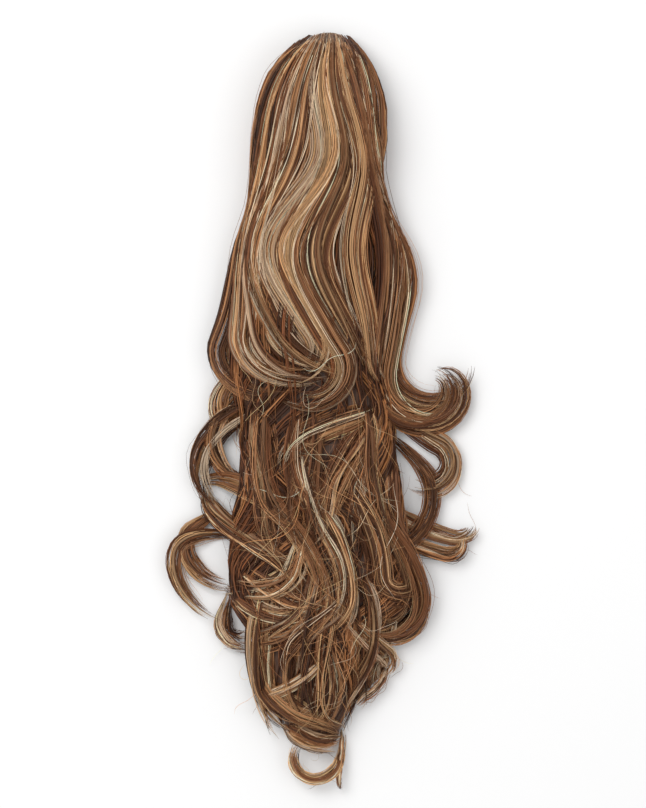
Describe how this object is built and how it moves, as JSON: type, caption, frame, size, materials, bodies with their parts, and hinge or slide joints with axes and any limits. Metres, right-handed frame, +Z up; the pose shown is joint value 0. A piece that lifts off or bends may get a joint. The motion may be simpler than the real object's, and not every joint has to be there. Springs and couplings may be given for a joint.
{
  "type": "ponytail hairpiece",
  "caption": "Long wavy clip-in ponytail with layered curls, its crown hollow round a claw clip whose two toothed jaws turn on a sprung hinge.",
  "frame": {"origin": "on the table, under the middle of the hair's length and spread", "axes": "+Z up from the table the hairpiece lies on, +Y along the hair from its tip to its crown, +X to the right seen from above"},
  "size_m": [0.2432, 0.6084, 0.0571],
  "materials": {
    "hair": "glossy synthetic fibre, chestnut brown with pale blonde streaks",
    "clip_plastic": "glossy charcoal moulding",
    "clip_steel": "drawn spring wire"
  },
  "bodies": {
    "hairpiece": {"ponytail_hair": "hair", "upper_jaw": "clip_plastic", "hinge_pin": "clip_steel", "spring": "clip_steel"},
    "pressed_jaw": {"lower_jaw": "clip_plastic"}
  },
  "joints": [
    {"name": "jaw_hinge", "type": "hinge", "parent": "hairpiece", "child": "pressed_jaw", "pos_m": [0, 0.241, 0.0193], "axis": [1, 0, 0], "range_deg": [0, 42], "stiffness_Nm_per_rad": 0.02, "springref_deg": -34.38, "deforming": ["spring"]}
  ]
}
